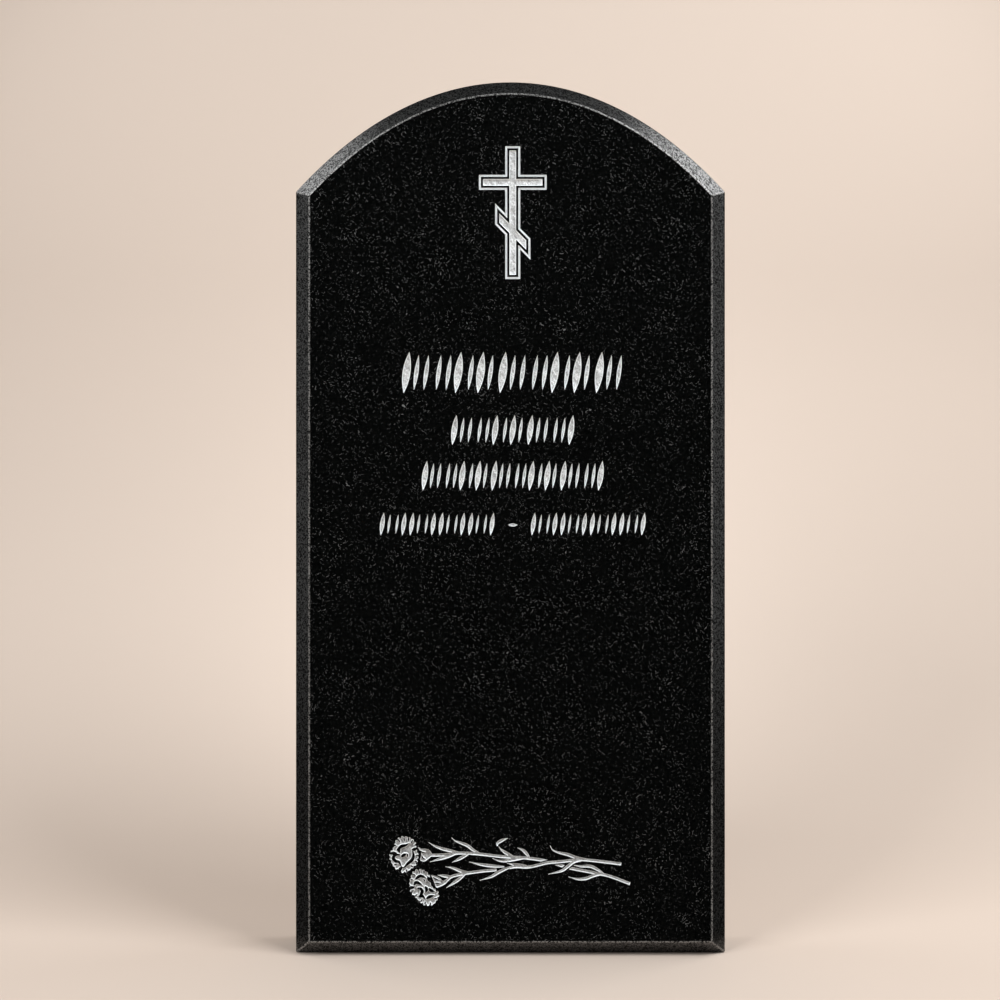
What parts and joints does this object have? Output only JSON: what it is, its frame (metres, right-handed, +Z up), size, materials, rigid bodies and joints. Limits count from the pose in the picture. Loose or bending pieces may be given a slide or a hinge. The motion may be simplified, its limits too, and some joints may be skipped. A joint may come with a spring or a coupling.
{
  "type": "headstone",
  "caption": "Upright polished black stone slab with an arched head, a chamfered front face and a sunk cross, rows of strokes and carnations.",
  "frame": {"origin": "on the surface that the stone stands on, under the middle of its box", "axes": "+Z up, -Y out of the carved front face, +X to the right as seen from the front"},
  "size_m": [0.493, 0.08, 1],
  "materials": {
    "black_stone": "polished black gabbro, honed chamfer, frosted carving"
  },
  "bodies": {
    "root": {"headstone": "black_stone"}
  },
  "joints": []
}
